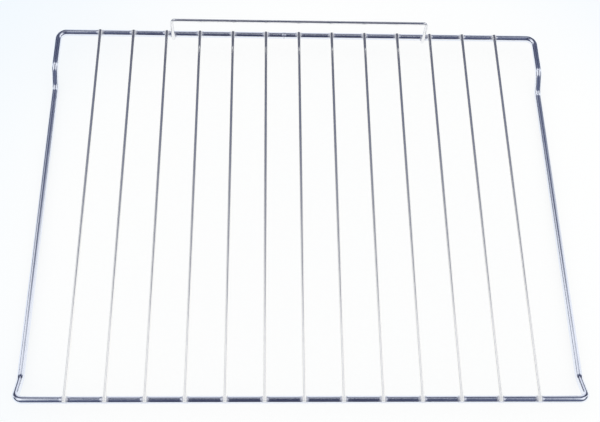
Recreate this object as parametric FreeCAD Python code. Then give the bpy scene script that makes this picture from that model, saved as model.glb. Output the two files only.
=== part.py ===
import FreeCAD, Part
import math
import os

# Oven shelf rack of welded round wire.
# One thick wire is bent to a closed ring, whose two side runs step down to rails that carry the rack.
# Thin straight wires lie across the ring from front to rear, and a thin bent wire guards the rear.
# The frame has +X to the right, +Y to the rear and +Z up, in millimetres.
# Its origin lies under the middle of the rack, on the surface that the rails rest on.

Vector = FreeCAD.Vector

# Overall sizes of the ring
RACK_WIDTH = 456.0            # over the outsides of the two side runs
RACK_DEPTH = 358.0            # over the outsides of the front and rear runs
FRAME_WIRE = 6.0              # diameter of the thick wire
RAIL_DROP = 12.0              # how far the rails lie below the front and rear runs

# Bends of the ring, with radii on the inside of the bend
REAR_CORNER_INSIDE = 5.0
FRONT_CORNER_INSIDE = 3.5
STEP_BEND_INSIDE = 3.0
REAR_STRAIGHT = 29.0          # straight wire between a rear corner and the bend that starts its step
REAR_STEP_RUN = 15.5          # distance from front to rear that the rear step takes
FRONT_STEP_RUN = 21.0         # distance from front to rear over which a rail climbs to the front run

# Butt weld that closes the ring, in its rear run
BUTT_WELD_OFFSET = -14.0      # from the middle of the rear run
BUTT_WELD_LENGTH = 3.0
BUTT_WELD_RISE = 0.2          # how far the upset stands out of the wire

# Cross wires
CROSS_WIRE = 3.0              # diameter of the thin wire
CROSS_COUNT = 13
SIDE_BAY = 39.0               # from the outermost cross wire to the side run, between centres
CROSS_FRONT_INSET = 0.5       # how far the front ends stop short of the ring's outside
CROSS_REAR_INSET = 2.5        # how far the rear ends stop short of it

# Resistance welds where a thin wire crosses the thick one
SET_DOWN = 0.5                # how far a thin wire is pressed into the thick one

# Rear guard
GUARD_WIRE = 3.0              # diameter of the guard's wire
GUARD_RISE = 26.0             # of the guard's top run above the ring's rear run, between centres
GUARD_LEG_BELOW = 2.5         # how far a leg reaches below the middle of the rear run
GUARD_BEND_INSIDE = 2.0
GUARD_BESIDE_WIRE = 3         # which cross wire a leg stands beside, counted from the outermost
GUARD_LEG_GAP = 3.0           # clear gap between a leg and that cross wire

# Places that follow from the sizes above
frame_radius = FRAME_WIRE / 2
cross_radius = CROSS_WIRE / 2
guard_radius = GUARD_WIRE / 2
side_x = RACK_WIDTH / 2 - frame_radius
rear_y = RACK_DEPTH / 2 - frame_radius
front_y = -rear_y
rail_z = frame_radius
run_z = rail_z + RAIL_DROP
cross_z = run_z + frame_radius + cross_radius - SET_DOWN
cross_pitch = 2 * (side_x - SIDE_BAY) / (CROSS_COUNT - 1)
cross_first_x = SIDE_BAY - side_x


def bend_trim(radius, turn):
    """Length of run that a bend of this centre-line radius and turn takes up on each side of its corner."""
    return radius * math.tan(turn / 2)


def bent_path(points, radii):
    """Wire of straight runs through the points, with a tangent arc of the given radius at each inner point.

    Each arc is kept as an exact spline, which gives the bend a surface of few facets.
    """
    edges = []
    start = points[0]
    for before, corner, after, radius in zip(points, points[1:], points[2:], radii):
        back = (before - corner).normalize()
        ahead = (after - corner).normalize()
        turn = math.pi - back.getAngle(ahead)
        trim = bend_trim(radius, turn)
        arc_start = corner + back * trim
        arc_end = corner + ahead * trim
        inward = (back + ahead).normalize()
        arc_middle = corner + inward * (radius / math.cos(turn / 2) - radius)
        edges.append(Part.LineSegment(start, arc_start).toShape())
        edges.append(Part.Arc(arc_start, arc_middle, arc_end).toBSpline().toShape())
        start = arc_end
    edges.append(Part.LineSegment(start, points[-1]).toShape())
    return Part.Wire(edges)


def bent_wire(points, radii, wire_radius):
    """Solid round wire bent along the points."""
    section = Part.Wire(Part.makeCircle(wire_radius, points[0], points[1] - points[0]))
    return bent_path(points, radii).makePipeShell([section], True, False)


def half_ring():
    """Right half of the ring, from the middle of the rear run round to the middle of the front run.

    At the rear a step has two bends and the corner lies flat. At the front the rail climbs straight into the
    corner, which is bent in the plane of that slope.
    """
    rear_corner = REAR_CORNER_INSIDE + frame_radius
    front_corner = FRONT_CORNER_INSIDE + frame_radius
    step_bend = STEP_BEND_INSIDE + frame_radius
    rear_trim = bend_trim(step_bend, math.atan2(RAIL_DROP, REAR_STEP_RUN))
    rear_step_top = rear_y - rear_corner - REAR_STRAIGHT - rear_trim
    rear_step_foot = rear_step_top - REAR_STEP_RUN
    front_step_foot = front_y + FRONT_STEP_RUN
    points = [
        Vector(0, rear_y, run_z),
        Vector(side_x, rear_y, run_z),
        Vector(side_x, rear_step_top, run_z),
        Vector(side_x, rear_step_foot, rail_z),
        Vector(side_x, front_step_foot, rail_z),
        Vector(side_x, front_y, run_z),
        Vector(0, front_y, run_z),
    ]
    radii = [rear_corner, step_bend, step_bend, step_bend, front_corner]
    return bent_wire(points, radii, frame_radius)


def butt_weld():
    """Barrel-shaped upset round the rear run, where the ends of the ring's wire were pressed together."""
    half_length = BUTT_WELD_LENGTH / 2
    left = Vector(-half_length, frame_radius, 0)
    top = Vector(0, frame_radius + BUTT_WELD_RISE, 0)
    right = Vector(half_length, frame_radius, 0)
    crown = Part.Arc(left, top, right).toShape()
    core = Part.makePolygon([right, Vector(half_length, 0, 0), Vector(-half_length, 0, 0), left])
    section = Part.Face(Part.Wire([crown] + core.Edges))
    upset = section.revolve(Vector(0, 0, 0), Vector(1, 0, 0), 360)
    upset.translate(Vector(BUTT_WELD_OFFSET, rear_y, run_z))
    return upset


def frame_ring():
    """The thick wire: two mirrored halves as one closed ring, with the upset of its butt weld."""
    right_half = half_ring()
    left_half = right_half.mirror(Vector(0, 0, 0), Vector(1, 0, 0))
    return right_half.fuse([left_half, butt_weld()]).removeSplitter()


def cross_wire(x, ring):
    """Straight thin wire over the front and rear runs, seated in the ring's surface at both."""
    front_end = -RACK_DEPTH / 2 + CROSS_FRONT_INSET
    rear_end = RACK_DEPTH / 2 - CROSS_REAR_INSET
    rod = Part.makeCylinder(cross_radius, rear_end - front_end, Vector(x, front_end, cross_z), Vector(0, 1, 0))
    return rod.cut(ring)


def rear_guard(ring):
    """Thin wire bent to an upside-down U, welded by its legs to the inside of the ring's rear run."""
    beside_x = side_x - SIDE_BAY - (GUARD_BESIDE_WIRE - 1) * cross_pitch
    leg_x = beside_x - cross_radius - GUARD_LEG_GAP - guard_radius
    leg_y = rear_y - frame_radius - guard_radius + SET_DOWN
    foot_z = run_z - GUARD_LEG_BELOW
    top_z = run_z + GUARD_RISE
    bend = GUARD_BEND_INSIDE + guard_radius
    points = [
        Vector(-leg_x, leg_y, foot_z),
        Vector(-leg_x, leg_y, top_z),
        Vector(leg_x, leg_y, top_z),
        Vector(leg_x, leg_y, foot_z),
    ]
    return bent_wire(points, [bend, bend], guard_radius).cut(ring)


def main():
    os.makedirs("parts", exist_ok=True)
    ring = frame_ring()
    ring.exportStep("parts/frame_wire.step")
    for index in range(CROSS_COUNT):
        wire = cross_wire(cross_first_x + index * cross_pitch, ring)
        wire.exportStep(f"parts/cross_wire_{index + 1:02d}.step")
    rear_guard(ring).exportStep("parts/rear_guard.step")


main()
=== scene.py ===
import math

import bpy
import numpy as np
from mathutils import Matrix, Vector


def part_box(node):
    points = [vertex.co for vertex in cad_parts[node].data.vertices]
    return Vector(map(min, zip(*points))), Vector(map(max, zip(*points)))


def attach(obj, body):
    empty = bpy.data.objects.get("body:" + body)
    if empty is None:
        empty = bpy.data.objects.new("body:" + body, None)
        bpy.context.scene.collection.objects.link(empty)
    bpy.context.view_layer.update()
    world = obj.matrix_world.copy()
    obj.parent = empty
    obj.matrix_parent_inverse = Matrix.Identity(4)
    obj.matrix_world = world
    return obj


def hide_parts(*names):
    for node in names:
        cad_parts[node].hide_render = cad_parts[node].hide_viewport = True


# Looks of a welded wire oven shelf, in metres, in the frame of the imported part.
# Every wire is a surface swept along its own centre line, with its welds worked into the sweep.

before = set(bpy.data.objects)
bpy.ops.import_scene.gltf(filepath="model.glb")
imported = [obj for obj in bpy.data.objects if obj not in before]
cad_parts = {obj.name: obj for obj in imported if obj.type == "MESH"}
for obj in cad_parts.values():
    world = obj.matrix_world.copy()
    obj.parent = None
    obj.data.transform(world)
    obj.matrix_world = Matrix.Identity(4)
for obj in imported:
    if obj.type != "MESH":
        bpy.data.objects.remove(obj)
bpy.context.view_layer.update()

# Wire sizes
FRAME_WIRE = 0.006
CROSS_WIRE = 0.003
GUARD_WIRE = 0.003
SET_DOWN = 0.0005             # how far a thin wire is pressed into the thick one

# Bends of the ring, with radii on the inside of the bend
RAIL_DROP = 0.012             # how far the rails lie below the front and rear runs
REAR_CORNER_INSIDE = 0.005
FRONT_CORNER_INSIDE = 0.0035
STEP_BEND_INSIDE = 0.009
REAR_STRAIGHT = 0.02695       # straight wire between a rear corner and the first bend of its step
REAR_STEP_RUN = 0.0155        # from front to rear, between the corner points of the step's two bends
FRONT_STEP_RUN = 0.021        # from front to rear, between a rail's front bend and the front corner

# Butt weld that closes the ring, in its rear run
BUTT_WELD_OFFSET = -0.014     # from the middle of the rear run
BUTT_WELD_LENGTH = 0.003
BUTT_WELD_RISE = 0.0002       # how far the upset stands out of the wire
BUTT_WELD_DULL = 0.22         # how dull its middle is, where other weld metal is 1

# Guard and sheared wire ends
GUARD_BEND_INSIDE = 0.002
SHEARED_EDGE = 0.0003         # rounding of a sheared end's edge

# Weld metal on the thin wires, with angles from the side that faces away from the thick wire
FILLET_REACH = 0.0021         # how far the weld metal spreads to each side of a thin wire
FILLET_LENGTH = 0.0012        # how quickly that spread dies away along the thin wire
FILLET_SPAN = 0.0020          # how far along the thin wire the weld metal fills the crossing
FILLET_SINK = 0.0001          # how far its edge is sunk into the thick wire
FILLET_START = math.radians(80.0)   # angle at which it leaves the thin wire
FILLET_SHARE = 0.7            # share of the lower outline that is weld metal and not hidden underside
FILLET_END = 0.0007           # how quickly it dies away towards a sheared end
SURFACE_SHARE = 0.98          # how far out the thick wire's surface is followed, as a share of its radius
DULL_START = 0.9              # angle in radians at which the plate starts to be dulled by the weld
DULL_SPREAD = 0.7             # angle in radians over which the dulling sets in
DULL_LENGTH = 0.0022          # how quickly it dies away along the thin wire

# Weld metal on the thick wire
SWELL_RISE = 0.00025          # how far metal pressed out of a weld stands on the thick wire
SWELL_HALF = 0.0028           # how far it spreads along the thick wire to each side
SWELL_ROUND = 0.0030          # how far it spreads round the thick wire
SWELL_REACH = 0.0046          # where it has died away

# Fineness of the surfaces
RING_SIDES = 48
THIN_SIDES = 56
STRAIGHT_STEP = 0.004
BEND_STEP = 0.0005
WELD_STEP = 0.0002
SWELL_STEP = 0.0003
SHEAR_STEP = 0.00005
CROSS_WELD_SPAN = 0.0055      # length of fine steps to each side of a cross wire's weld
GUARD_WELD_SPAN = 0.007       # length of fine steps at the foot of a guard leg
STATION_GAP = 0.00002         # stations nearer than this count as one
TINY = 1e-9
FAR_AWAY = 1.0                # stands for the distance to a weld where there is none

# Camera of the photograph
CAMERA_PLACE = (-0.035618, -0.386444, 0.758478)
CAMERA_TURN = (26.8471, -2.2819, -0.7365)
CAMERA_LENS = 58.09
SENSOR_WIDTH = 36.0
CLIP_START = 0.01
CLIP_END = 200.0

# Light and floor
DOME_LIGHT = (1.0, 1.0, 1.0, 1.0)
# The paper's colour is a painted pool of light: white round its brightest place, with a cooler, darker
# painted falloff further out.
FLOOR_WHITE = (0.995, 1.0, 1.0, 1.0)
FLOOR_PAINTED_FALLOFF = (0.885, 0.945, 1.0, 1.0)
FLOOR_PAINTED_LIGHT_CENTRE = (0.06, -0.04, 0.0)
FLOOR_PAINTED_LIGHT_FADE = (0.24, 0.48)     # distances from there between which the painted light fades from white to the cooler painted falloff
FLOOR_GLOW = 0.80             # share of the paper that shines through evenly, as a lit table does
FLOOR_HALF = 40.0

# Surroundings that the plating mirrors
DARK_ROOM = (0.048, 0.053, 0.098, 1.0)
DIM_SIDES = (0.145, 0.168, 0.265, 1.0)
SIDE_PANEL = (0.98, 0.99, 1.02, 1.0)
REAR_PANEL = (0.80, 0.82, 0.90, 1.0)

# Plating
# The wires share one plating; the ring's copy is painted darker and bluer and the thin wires' lighter and
# warmer, as painted shade and light for how each is lit.
THICK_PLATE = (0.865, 0.90, 0.98, 1.0)
THIN_PLATE = (0.975, 0.97, 0.945, 1.0)
GUARD_PLATE = (0.93, 0.935, 0.95, 1.0)
WELD_PLATE = (0.62, 0.63, 0.71, 1.0)
LINE_LENGTH = 0.03            # how long the drawing lines run along a wire
LINE_EDGE = (0.5, 0.8)        # values of the noise between which a line sets in
LINE_HAZE = 0.03              # roughness that a line adds
LINE_BUMP = 0.12              # height of the lines, as a share of the ripples on weld metal
CLOUDS_PER_METRE = 70.0       # fineness of the cloudy polish
CLOUD_EDGE = (0.4, 0.75)      # values of the noise between which a cloud sets in
CLOUD_HAZE = 0.05             # roughness that a cloud adds
RIPPLES_PER_METRE = 1800.0    # fineness of the ripples on weld metal
RIPPLE_EDGE = (0.35, 0.65)    # values of the noise between which a ripple sets in
RIPPLE_HEIGHT = 0.00004
BUMP_STRENGTH = 0.5
WELD_HAZE = 0.3               # roughness that weld metal adds
TROUGH_DULL = 0.75            # how dull weld metal is between its ripples, where on them it is 1
DULL_LOSS = 0.85              # share of the metallic look that is lost where weld metal is dullest

UP = np.array([0.0, 0.0, 1.0])

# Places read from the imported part
ring_low, ring_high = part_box("frame_wire")
guard_low, guard_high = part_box("rear_guard")
cross_names = sorted(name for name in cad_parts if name.startswith("cross_wire_"))
frame_radius = FRAME_WIRE / 2
cross_radius = CROSS_WIRE / 2
guard_radius = GUARD_WIRE / 2
side_x = ring_high.x - frame_radius
front_y = ring_low.y + frame_radius
rear_y = -front_y
rail_z = ring_low.z + frame_radius
run_z = rail_z + RAIL_DROP
guard_leg_x = guard_high.x - guard_radius


class Signal:
    """A value in a shader: arithmetic on it adds Math nodes, and node() adds any other node."""

    def __init__(self, tree, socket=None):
        self.tree = tree
        self.socket = socket

    def node(self, kind, settings, inputs, output=0):
        """Adds a node: first its settings, then the values or links of its sockets, by name or number."""
        made = self.tree.nodes.new(kind)
        for name, value in settings.items():
            setattr(made, name, value)
        for key, value in inputs.items():
            if isinstance(value, Signal):
                self.tree.links.new(value.socket, made.inputs[key])
            else:
                made.inputs[key].default_value = value
        return Signal(self.tree, made.outputs[output] if made.outputs else None)

    def maths(self, operation, *values):
        """A Math node on the given values."""
        return self.node("ShaderNodeMath", {"operation": operation}, dict(enumerate(values)))

    def __add__(self, other):
        return self.maths("ADD", self, other)

    def __radd__(self, other):
        return self.maths("ADD", other, self)

    def __sub__(self, other):
        return self.maths("SUBTRACT", self, other)

    def __rsub__(self, other):
        return self.maths("SUBTRACT", other, self)

    def __mul__(self, other):
        return self.maths("MULTIPLY", self, other)

    def __rmul__(self, other):
        return self.maths("MULTIPLY", other, self)

    def __abs__(self):
        return self.maths("ABSOLUTE", self)

    def or_more(self, other):
        """The larger of this value and the other."""
        return self.maths("MAXIMUM", self, other)

    def rise(self, low, high):
        """Smooth step from 0 where this value is low to 1 where it is high."""
        limits = {"Value": self, "From Min": low, "From Max": high}
        return self.node("ShaderNodeMapRange", {"interpolation_type": "SMOOTHSTEP"}, limits)

    def fall(self, low, high):
        """Smooth step from 1 where this value is low to 0 where it is high."""
        return 1.0 - self.rise(low, high)

    def scaled(self, factors):
        """This vector times the factors, axis by axis."""
        return self.node("ShaderNodeVectorMath", {"operation": "MULTIPLY"}, {0: self, 1: factors})

    def distance(self, place):
        """Distance from this vector to a place."""
        return self.node("ShaderNodeVectorMath", {"operation": "DISTANCE"}, {0: self, 1: place}, "Value")

    def mixed(self, first, second):
        """The first colour where this value is 0 and the second where it is 1."""
        # Inputs 6 and 7 and output 2 of a Mix node are its colours.
        return self.node("ShaderNodeMix", {"data_type": "RGBA"}, {0: self, 6: first, 7: second}, 2)

    def noise(self, scale, detail):
        """Soft noise from 0 to 1 over this vector."""
        inputs = {"Vector": self, "Scale": scale, "Detail": detail}
        return self.node("ShaderNodeTexNoise", {}, inputs)


def new_shader(name):
    """An empty node material and the start of its shader."""
    material = bpy.data.materials.new(name)
    material.use_nodes = True
    material.node_tree.nodes.clear()
    return material, Signal(material.node_tree)


def bright_plating(name, plate, line_width, haze, satin):
    """Bright plate on drawn wire: lines along the wire, cloudy polish, and dull rippled metal at the welds.

    The attribute straight holds the place on the wire as if it were pulled straight, in metres, so noise
    that is squeezed across it gives drawing lines. The attribute weld is 1 on weld metal. Haze is the
    roughness of clean plate, and satin is the share of it that scatters light as a matt surface does.
    """
    material, shader = new_shader(name)
    straight = shader.node("ShaderNodeAttribute", {"attribute_name": "straight"}, {}, "Vector")
    weld = shader.node("ShaderNodeAttribute", {"attribute_name": "weld"}, {}, "Fac")
    squeezed = straight.scaled((1 / line_width, 1 / line_width, 1 / LINE_LENGTH))
    lines = squeezed.noise(scale=1.0, detail=2.0)
    clouds = straight.noise(CLOUDS_PER_METRE, detail=3.0)
    ripples = straight.noise(RIPPLES_PER_METRE, detail=2.0)
    dull = weld * (TROUGH_DULL + (1.0 - TROUGH_DULL) * ripples.rise(*RIPPLE_EDGE))
    colour = dull.mixed(plate, WELD_PLATE)
    metallic = (1.0 - satin) * (1.0 - DULL_LOSS * dull)
    cloud_haze = CLOUD_HAZE * clouds.rise(*CLOUD_EDGE)
    line_haze = LINE_HAZE * lines.rise(*LINE_EDGE)
    roughness = haze + cloud_haze + line_haze + WELD_HAZE * weld
    height = LINE_BUMP * lines + weld * ripples
    normal = shader.node(
        "ShaderNodeBump", {}, {"Strength": BUMP_STRENGTH, "Distance": RIPPLE_HEIGHT, "Height": height}
    )
    metal = shader.node(
        "ShaderNodeBsdfPrincipled", {},
        {"Base Color": colour, "Metallic": metallic, "Roughness": roughness, "Normal": normal},
    )
    shader.node("ShaderNodeOutputMaterial", {}, {"Surface": metal})
    return material


def thick_plating():
    """Plate on the ring's thick wire, painted darker and bluer than the thin wires' plate as painted shade.
    """
    return bright_plating("plated_thick_wire", THICK_PLATE, line_width=0.00018, haze=0.14, satin=0.0)


def thin_plating():
    """Plate on the thin cross wires, sharper than on the ring, with a small satin share, and painted
    lighter and warmer than the ring's plate.
    """
    return bright_plating("plated_thin_wire", THIN_PLATE, line_width=0.00012, haze=0.07, satin=0.07)


def guard_plating():
    """Plate on the guard's thin wire, the haziest of the three."""
    return bright_plating("plated_guard_wire", GUARD_PLATE, line_width=0.00012, haze=0.18, satin=0.04)


def floor_paper():
    """Matt pale paper, lit partly from below, with a painted pool of light: white round its brightest place
    and painted cooler further out.

    For rays from the camera and from the plating a share of it is plain light in that painted colour; the
    rest takes the light of the room, with the shadow of the rack.
    """
    material, shader = new_shader("pale_paper")
    place = shader.node("ShaderNodeTexCoord", {}, {}, "Object")
    # painted pool of light: white near its brightest place, fading to a cooler painted falloff further out
    colour = place.distance(FLOOR_PAINTED_LIGHT_CENTRE).rise(*FLOOR_PAINTED_LIGHT_FADE).mixed(FLOOR_WHITE, FLOOR_PAINTED_FALLOFF)
    camera = shader.node("ShaderNodeLightPath", {}, {}, "Is Camera Ray")
    mirror = shader.node("ShaderNodeLightPath", {}, {}, "Is Glossy Ray")
    through = shader.node("ShaderNodeLightPath", {}, {}, "Is Transmission Ray")
    share = FLOOR_GLOW * camera.or_more(mirror.or_more(through))
    paper = shader.node("ShaderNodeBsdfDiffuse", {}, {"Color": colour})
    glow = shader.node("ShaderNodeEmission", {}, {"Color": colour, "Strength": 1.0})
    floor = shader.node("ShaderNodeMixShader", {}, {0: share, 1: paper, 2: glow})
    shader.node("ShaderNodeOutputMaterial", {}, {"Surface": floor})
    return material


def straight_run(start, end):
    """A straight run as (kind, length, facts)."""
    length = np.linalg.norm(end - start)
    return "line", length, (start, (end - start) / max(length, TINY))


def bent_route(corners, radii):
    """Straight runs between the corners, with a tangent arc at each inner one, as (kind, length, facts).

    An arc takes up its radius times the tangent of half the turn on both runs, and its centre lies inside
    the corner by the radius over the cosine of half the turn.
    """
    route = []
    place = corners[0]
    for before, corner, after, radius in zip(corners, corners[1:], corners[2:], radii[1:]):
        back = (before - corner) / np.linalg.norm(before - corner)
        ahead = (after - corner) / np.linalg.norm(after - corner)
        turn = math.pi - math.acos(np.dot(back, ahead))
        trim = radius * math.tan(turn / 2)
        inward = (back + ahead) / np.linalg.norm(back + ahead)
        centre = corner + inward * radius / math.cos(turn / 2)
        start = corner + back * trim
        route.append(straight_run(place, start))
        route.append(("arc", radius * turn, (centre, start - centre, -back, radius)))
        place = corner + ahead * trim
    route.append(straight_run(place, corners[-1]))
    return route


def route_length(route):
    """Length of a whole route: its runs and arcs added up."""
    return sum(length for kind, length, facts in route)


def follow(route, stations):
    """Points and directions at the stations, which are lengths along the route.

    On a line the point is start + direction times length. On an arc it is the centre plus the starting
    spoke turned by length over radius, in the plane of the spoke and the starting direction.
    """
    points = np.zeros((len(stations), 3))
    directions = np.zeros((len(stations), 3))
    passed = 0.0
    for kind, length, facts in route:
        here = (stations >= passed - TINY) & (stations <= passed + length + TINY)
        along = (stations[here] - passed)[:, None]
        if kind == "line":
            start, direction = facts
            points[here] = start + direction * along
            directions[here] = direction
        else:
            centre, spoke, direction, radius = facts
            angle = along / radius
            points[here] = centre + spoke * np.cos(angle) + direction * radius * np.sin(angle)
            directions[here] = direction * np.cos(angle) - spoke / radius * np.sin(angle)
        passed += length
    return points, directions


def spaced(start, end, step):
    """Evenly spaced lengths from start to end, no further apart than the step."""
    return np.linspace(start, end, max(2, math.ceil((end - start) / step) + 1))


def route_stations(route, fine_spans, others=()):
    """Lengths along the route: close together in bends and in the fine spans, and far apart elsewhere.

    A fine span is (start, end, step), and the others are added as they are. Stations that nearly meet are
    thinned to one.
    """
    groups = [np.asarray(others, dtype=float)]
    passed = 0.0
    for kind, length, facts in route:
        groups.append(spaced(passed, passed + length, STRAIGHT_STEP if kind == "line" else BEND_STEP))
        passed += length
    for start, end, step in fine_spans:
        groups.append(spaced(max(start, 0.0), min(end, passed), step))
    stations = np.unique(np.concatenate(groups))
    apart = np.diff(stations) > STATION_GAP
    return stations[np.concatenate([[True], apart])]


def shear_spans(route):
    """Fine spans over the rounded edges of the two sheared ends."""
    total = route_length(route)
    return [(0.0, SHEARED_EDGE, SHEAR_STEP), (total - SHEARED_EDGE, total, SHEAR_STEP)]


def round_outline(radius, stations, sides):
    """Outline of plain round wire: sideways and upward distances from the centre line, and the angle.

    The angle is measured from straight up, so sideways is radius times its sine and upward its cosine.
    """
    angle = np.linspace(0.0, 2 * math.pi, sides, endpoint=False)
    angle = np.broadcast_to(angle, (len(stations), sides))
    return radius * np.sin(angle), radius * np.cos(angle), angle


def angle_from_top(angle):
    """Angle from straight up, the same to both sides."""
    return np.minimum(angle, 2 * math.pi - angle)


def end_distance(stations):
    """Length from each station to the nearer end of the wire."""
    return np.minimum(stations - stations[0], stations[-1] - stations)


def with_sheared_ends(sideways, upward, stations, radius):
    """Draws the outline in over the last bit of both ends, along a quarter of a circle."""
    gap = np.clip(1.0 - end_distance(stations) / SHEARED_EDGE, 0.0, 1.0)
    shrink = 1.0 - SHEARED_EDGE / radius * (1.0 - np.sqrt(1.0 - gap ** 2))
    return sideways * shrink[:, None], upward * shrink[:, None]


def with_weld(sideways, upward, angle, offset, from_end, radius):
    """Spreads the lower side of a thin wire into the weld metal of a crossing.

    The offset is the length along the wire from the crossing. The weld's outline leaves the round wire a
    little above its side, curves out as a quadratic with its middle point under the wire's side, meets the
    thick wire's surface at its reach, and goes back under the wire. The reach falls off as a bell curve of
    the offset and towards a sheared end, and the outline fades into the round one as the fourth power of
    the offset grows.
    """
    depth = frame_radius ** 2 - np.clip(np.abs(offset), 0.0, frame_radius * SURFACE_SHARE) ** 2
    axis_height = frame_radius + radius - SET_DOWN
    surface = (np.sqrt(depth) - axis_height - FILLET_SINK)[:, None]
    whole = 1.0 - np.exp(-(from_end / FILLET_END) ** 2)
    reach = (radius + FILLET_REACH * whole * np.exp(-(offset / FILLET_LENGTH) ** 2))[:, None]
    fade = np.exp(-(offset / FILLET_SPAN) ** 4)[:, None]
    from_top = angle_from_top(angle)
    share = np.clip((from_top - FILLET_START) / (math.pi - FILLET_START), 0.0, 1.0)
    out = np.clip(share / FILLET_SHARE, 0.0, 1.0)
    under = np.clip((share - FILLET_SHARE) / (1 - FILLET_SHARE), 0.0, 1.0)
    start_side = radius * math.sin(FILLET_START)
    start_up = radius * math.cos(FILLET_START)
    weld_side = (1 - out) ** 2 * start_side + 2 * out * (1 - out) * radius + out ** 2 * reach
    weld_up = (1 - out) ** 2 * start_up + (1 - (1 - out) ** 2) * surface
    weld_side = weld_side * (1 - under)
    weld_up = weld_up * (1 - under) + np.minimum(surface, -radius) * under
    mix = fade * (from_top > FILLET_START)
    mirrored = np.where(angle > math.pi, -weld_side, weld_side)
    return sideways + mix * (mirrored - sideways), upward + mix * (weld_up - upward)


def weld_mask(angle, offset):
    """1 on the weld metal of a thin wire: a bell curve along it times a rise towards its lower half."""
    lower = np.clip((angle_from_top(angle) - DULL_START) / DULL_SPREAD, 0.0, 1.0)
    return np.exp(-(offset / DULL_LENGTH) ** 2)[:, None] * lower


def welded_outline(stations, welds, radius):
    """Outline of a thin wire with weld metal at the given lengths and sheared ends, and its weld mask."""
    sideways, upward, angle = round_outline(radius, stations, THIN_SIDES)
    from_end = end_distance(stations)
    mask = np.zeros(angle.shape)
    for place in welds:
        offset = stations - place
        sideways, upward = with_weld(sideways, upward, angle, offset, from_end, radius)
        mask = np.maximum(mask, weld_mask(angle, offset))
    return with_sheared_ends(sideways, upward, stations, radius), mask


def add_attribute(mesh, name, kind, field, values):
    """Puts an array of one value for each vertex into the mesh."""
    layer = mesh.attributes.new(name, kind, "POINT")
    layer.data.foreach_set(field, np.asarray(values, dtype=np.float32).ravel())


def sweep_vertices(route, stations, outline, up_hint):
    """Vertices of an outline carried along a route, one row for each station.

    At each station, up is the hint made square to the direction, and sideways is the direction crossed
    with up. A vertex is the point on the route plus the outline's two distances along them.
    """
    sideways, upward = outline
    points, directions = follow(route, stations)
    up = up_hint - (directions @ up_hint)[:, None] * directions
    up = up / np.linalg.norm(up, axis=1)[:, None]
    side = np.cross(directions, up)
    sideways_step = sideways[:, :, None] * side[:, None, :]
    upward_step = upward[:, :, None] * up[:, None, :]
    return points[:, None, :] + sideways_step + upward_step


def sweep_faces(rows, sides, closed):
    """Four-sided faces between neighbouring rows, and the end faces.

    A closed sweep joins its last row to its first and has no end faces; an open one has a flat one on
    each end.
    """
    index = np.arange(rows * sides).reshape(rows, sides)
    around = np.roll(index, -1, axis=1)
    next_index = np.roll(index, -1, axis=0)
    next_around = np.roll(around, -1, axis=0)
    quads = np.stack([index, around, next_around, next_index], axis=-1)
    if closed:
        return quads.reshape(-1, 4).tolist(), []
    return quads[:-1].reshape(-1, 4).tolist(), [index[0][::-1].tolist(), index[-1].tolist()]


def swept_wire(name, route, stations, outline, up_hint, closed):
    """An outline swept along a route, smooth but for its end faces, with the attribute straight.

    The attribute holds the outline's two distances and the length along the route.
    """
    sideways, upward = outline
    vertices = sweep_vertices(route, stations, outline, up_hint)
    quads, end_faces = sweep_faces(*sideways.shape, closed)
    mesh = bpy.data.meshes.new(name)
    mesh.from_pydata(vertices.reshape(-1, 3).tolist(), [], quads + end_faces)
    smooth = [True] * len(quads) + [False] * len(end_faces)
    mesh.polygons.foreach_set("use_smooth", smooth)
    along = np.broadcast_to(stations[:, None], sideways.shape)
    straight = np.stack([sideways, upward, along], axis=-1)
    add_attribute(mesh, "straight", "FLOAT_VECTOR", "vector", straight)
    mesh.update()
    piece = bpy.data.objects.new(name, mesh)
    bpy.context.scene.collection.objects.link(piece)
    return piece


def finish_piece(piece, weld, material, node):
    """Weld mask, material, body, replaced node and slot of a finished piece."""
    add_attribute(piece.data, "weld", "FLOAT", "value", weld)
    piece.data.materials.append(material)
    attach(piece, "root")
    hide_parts(node)


def ring_corners():
    """Corners of the ring's centre line and their bend radii, from the butt weld round to the right.

    The left side is the right side in reverse order, mirrored.
    """
    rear_corner = REAR_CORNER_INSIDE + frame_radius
    front_corner = FRONT_CORNER_INSIDE + frame_radius
    step_bend = STEP_BEND_INSIDE + frame_radius
    rear_trim = step_bend * math.tan(math.atan2(RAIL_DROP, REAR_STEP_RUN) / 2)
    rear_step_top = rear_y - rear_corner - REAR_STRAIGHT - rear_trim
    right = [
        ((side_x, rear_y, run_z), rear_corner),
        ((side_x, rear_step_top, run_z), step_bend),
        ((side_x, rear_step_top - REAR_STEP_RUN, rail_z), step_bend),
        ((side_x, front_y + FRONT_STEP_RUN, rail_z), step_bend),
        ((side_x, front_y, run_z), front_corner),
    ]
    left = [((-x, y, z), radius) for (x, y, z), radius in reversed(right)]
    ends = [((BUTT_WELD_OFFSET, rear_y, run_z), 0.0)]
    corners = [np.array(place) for place, radius in ends + right + left + ends]
    radii = [radius for place, radius in ends + right + left + ends]
    return corners, radii


def middle_x(node):
    """Place of a node's middle from left to right."""
    low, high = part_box(node)
    return (low.x + high.x) / 2


def crossing_distance(points):
    """Length along the front or rear run to the nearest cross wire, and to the nearest guard leg.

    Off those two runs both are far away, and on the front run the legs are.
    """
    x, y = points[:, 0], points[:, 1]
    on_run = np.abs(np.abs(y) - rear_y) < STATION_GAP
    on_rear = on_run & (y > 0)
    centres = np.array([middle_x(name) for name in cross_names])
    to_cross = np.min(np.abs(x[:, None] - centres), axis=1)
    to_leg = np.abs(np.abs(x) - guard_leg_x)
    return np.where(on_run, to_cross, FAR_AWAY), np.where(on_rear, to_leg, FAR_AWAY)


def swell_shape(distance, arc):
    """Metal pressed out of a weld, from 0 to 1: flat in the middle and bell-shaped towards its edge.

    It falls with the fourth power of the distance along the thick wire and the square of the arc round it.
    """
    return np.exp(-(distance[:, None] / SWELL_HALF) ** 4 - (arc / SWELL_ROUND) ** 2)


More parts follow.
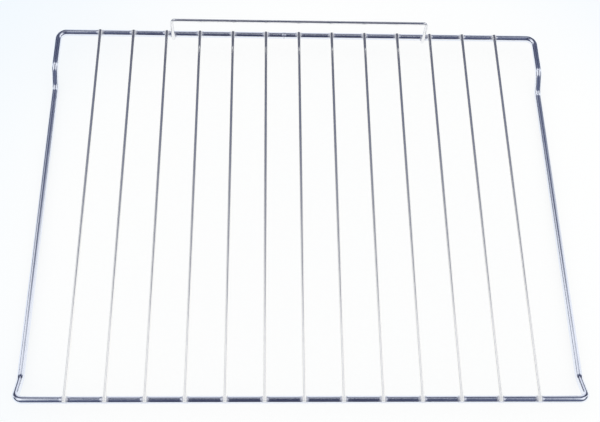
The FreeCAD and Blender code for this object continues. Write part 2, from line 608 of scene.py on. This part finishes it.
def ring_stations(route):
    """Lengths along the ring, close together at its bends, its butt weld and each welded crossing.

    The last one is left out, because the ring closes there.
    """
    total = route_length(route)
    butt_spans = [(0.0, BUTT_WELD_LENGTH, WELD_STEP), (total - BUTT_WELD_LENGTH, total, WELD_STEP)]
    dense = spaced(0.0, total, SWELL_STEP)
    to_cross, to_leg = crossing_distance(follow(route, dense)[0])
    near_weld = dense[np.minimum(to_cross, to_leg) < SWELL_REACH]
    return route_stations(route, butt_spans, near_weld)[:-1]


def ring_swell(route, stations, angle):
    """Metal pressed out of the welded crossings, from 0 to 1, all over the ring.

    Cross wires sit on top of the ring, where the outline's angle is 0, and guard legs on its inside, at a
    quarter turn.
    """
    to_cross, to_leg = crossing_distance(follow(route, stations)[0])
    on_top = swell_shape(to_cross, frame_radius * angle_from_top(angle))
    inside = swell_shape(to_leg, frame_radius * np.abs(angle - math.pi / 2))
    return np.maximum(on_top, inside)


def make_ring(material):
    """The thick wire: one bent ring, swollen at its butt weld and round each welded crossing.

    The butt weld is a barrel whose rise falls with the square of the distance.
    """
    route = bent_route(*ring_corners())
    stations = ring_stations(route)
    sideways, upward, angle = round_outline(1.0, stations, RING_SIDES)
    swell = ring_swell(route, stations, angle)
    from_butt = np.minimum(stations, route_length(route) - stations)
    butt = np.clip(1.0 - (from_butt / (BUTT_WELD_LENGTH / 2)) ** 2, 0.0, 1.0)[:, None]
    radius = frame_radius + BUTT_WELD_RISE * butt + SWELL_RISE * swell
    outline = (sideways * radius, upward * radius)
    piece = swept_wire("plated_ring", route, stations, outline, UP, closed=True)
    weld = np.maximum(swell, BUTT_WELD_DULL * butt ** 2)
    finish_piece(piece, weld, material, "frame_wire")


def make_cross_wire(node, material):
    """A straight thin wire with sheared ends, welded to the front and rear runs."""
    low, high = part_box(node)
    x = middle_x(node)
    z = high.z - cross_radius
    route = [straight_run(np.array([x, low.y, z]), np.array([x, high.y, z]))]
    welds = [front_y - low.y, rear_y - low.y]
    weld_spans = [(place - CROSS_WELD_SPAN, place + CROSS_WELD_SPAN, WELD_STEP) for place in welds]
    stations = route_stations(route, weld_spans + shear_spans(route))
    outline, weld = welded_outline(stations, welds, cross_radius)
    name = node.replace("cross_wire", "plated_cross")
    piece = swept_wire(name, route, stations, outline, UP, closed=False)
    finish_piece(piece, weld, material, node)


def make_guard(material):
    """The guard: a thin wire bent to an upside-down U, its legs welded to the inside of the rear run."""
    leg_y = guard_low.y + guard_radius
    top_z = guard_high.z - guard_radius
    foot_z = guard_low.z
    bend = GUARD_BEND_INSIDE + guard_radius
    corners = [
        np.array([-guard_leg_x, leg_y, foot_z]),
        np.array([-guard_leg_x, leg_y, top_z]),
        np.array([guard_leg_x, leg_y, top_z]),
        np.array([guard_leg_x, leg_y, foot_z]),
    ]
    route = bent_route(corners, [0.0, bend, bend, 0.0])
    total = route_length(route)
    weld_spans = [(0.0, GUARD_WELD_SPAN, WELD_STEP), (total - GUARD_WELD_SPAN, total, WELD_STEP)]
    stations = route_stations(route, weld_spans + shear_spans(route))
    weld_at = run_z - foot_z
    outline, weld = welded_outline(stations, [weld_at, total - weld_at], guard_radius)
    away_from_ring = np.array([0.0, -1.0, 0.0])
    piece = swept_wire("plated_guard", route, stations, outline, away_from_ring, closed=False)
    finish_piece(piece, weld, material, "rear_guard")


def make_floor():
    """A wide flat sheet of pale paper under the rails."""
    half = FLOOR_HALF
    mesh = bpy.data.meshes.new("floor")
    corners = [(-half, -half, 0.0), (half, -half, 0.0), (half, half, 0.0), (-half, half, 0.0)]
    mesh.from_pydata(corners, [], [(0, 1, 2, 3)])
    mesh.materials.append(floor_paper())
    floor = bpy.data.objects.new("floor", mesh)
    bpy.context.scene.collection.objects.link(floor)


def side_panels(x, y, z):
    """A panel on each side of overhead, about 30 degrees to the front and to the rear.

    It is the product of its soft edges. Low down, only its rear part is lit.
    """
    middle = 0.05
    inner_edge = (0.23, 0.31)
    front_edge = (-0.50, -0.30)
    rear_edge = (0.34, 0.555)
    low_edge = (0.4, 0.6)
    rear_part = (0.2, 0.28)
    panel = abs(x - middle).rise(*inner_edge) * y.rise(*front_edge) * y.fall(*rear_edge)
    return panel * z.rise(*low_edge).or_more(y.rise(*rear_part))


def strip_light(x, y):
    """A strip of light from left to right, a little behind overhead and slightly dimmer in its middle."""
    middle = 0.07
    dim_half = (0.22, 0.31)
    dim_level = 0.82
    behind_overhead = 0.30
    half_width = (0.03, 0.08)
    level = dim_level + (1.0 - dim_level) * abs(x - middle).rise(*dim_half)
    return level * abs(y - behind_overhead).fall(*half_width)


def dark_seams(x, y):
    """0 in two dark seams that run to the rear from a little behind overhead, and 1 elsewhere."""
    right_place = 0.43
    right_half = (0.05, 0.12)
    left_place = -0.75
    left_half = (0.055, 0.11)
    front_end = (0.15, 0.25)
    seams = abs(x - right_place).rise(*right_half) * abs(x - left_place).rise(*left_half)
    return seams.or_more(y.fall(*front_end))


def rear_lights(x, y, z):
    """A narrow panel straight behind, and under it a wider patch of light down to the horizon."""
    rear_part = (0.4, 0.6)
    panel_level = 0.8
    panel_half = (0.11, 0.25)
    panel_foot = (0.28, 0.36)
    panel_top = (0.58, 0.70)
    patch_left = (-0.30, -0.18)
    patch_right = (0.30, 0.42)
    panel = abs(x).fall(*panel_half) * z.rise(*panel_foot) * z.fall(*panel_top)
    patch = x.rise(*patch_left) * x.fall(*patch_right) * z.fall(*panel_foot)
    return y.rise(*rear_part) * (panel_level * panel + patch)


def dim_walls(x, y, z):
    """How far the dark room is dimly lit: on both sides, above the horizon, and less at the rear."""
    middle = 0.03
    inner_edge = (0.07, 0.30)
    low_edge = (0.30, 0.60)
    rear_part = (0.545, 0.60)
    rear_loss = 0.8
    return abs(x - middle).rise(*inner_edge) * z.rise(*low_edge) * (1.0 - rear_loss * y.rise(*rear_part))


def make_studio():
    """An even dome of light for matt surfaces, and for the plating a dark room with lights to mirror.

    A place in the room is a direction from the rack, with x to the right, y to the rear and z up. Each
    pair of numbers is a soft edge: between them a light sets in or dies away.
    """
    world = bpy.data.worlds.new("studio")
    world.use_nodes = True
    world.node_tree.nodes.clear()
    shader = Signal(world.node_tree)
    direction = shader.node("ShaderNodeTexCoord", {}, {}, "Generated")
    x, y, z = [shader.node("ShaderNodeSeparateXYZ", {}, {0: direction}, axis) for axis in range(3)]
    walls = dim_walls(x, y, z).mixed(DARK_ROOM, DIM_SIDES)
    overhead = dark_seams(x, y) * side_panels(x, y, z).or_more(strip_light(x, y))
    room = rear_lights(x, y, z).mixed(overhead.mixed(walls, SIDE_PANEL), REAR_PANEL)
    mirror = shader.node("ShaderNodeLightPath", {}, {}, "Is Glossy Ray")
    light = mirror.mixed(DOME_LIGHT, room)
    background = shader.node("ShaderNodeBackground", {}, {"Color": light, "Strength": 1.0})
    shader.node("ShaderNodeOutputWorld", {}, {"Surface": background})
    bpy.context.scene.world = world


def make_camera():
    """The photograph's camera."""
    data = bpy.data.cameras.new("camera")
    data.sensor_width = SENSOR_WIDTH
    data.lens = CAMERA_LENS
    data.clip_start = CLIP_START
    data.clip_end = CLIP_END
    camera = bpy.data.objects.new("camera", data)
    camera.location = CAMERA_PLACE
    camera.rotation_euler = [math.radians(angle) for angle in CAMERA_TURN]
    bpy.context.scene.collection.objects.link(camera)
    bpy.context.scene.camera = camera


def make_rack():
    """All wires of the rack, each in its plating."""
    make_ring(thick_plating())
    thin = thin_plating()
    for node in cross_names:
        make_cross_wire(node, thin)
    make_guard(guard_plating())


make_camera()
make_studio()
make_floor()
make_rack()
bpy.context.scene.view_settings.view_transform = "Standard"
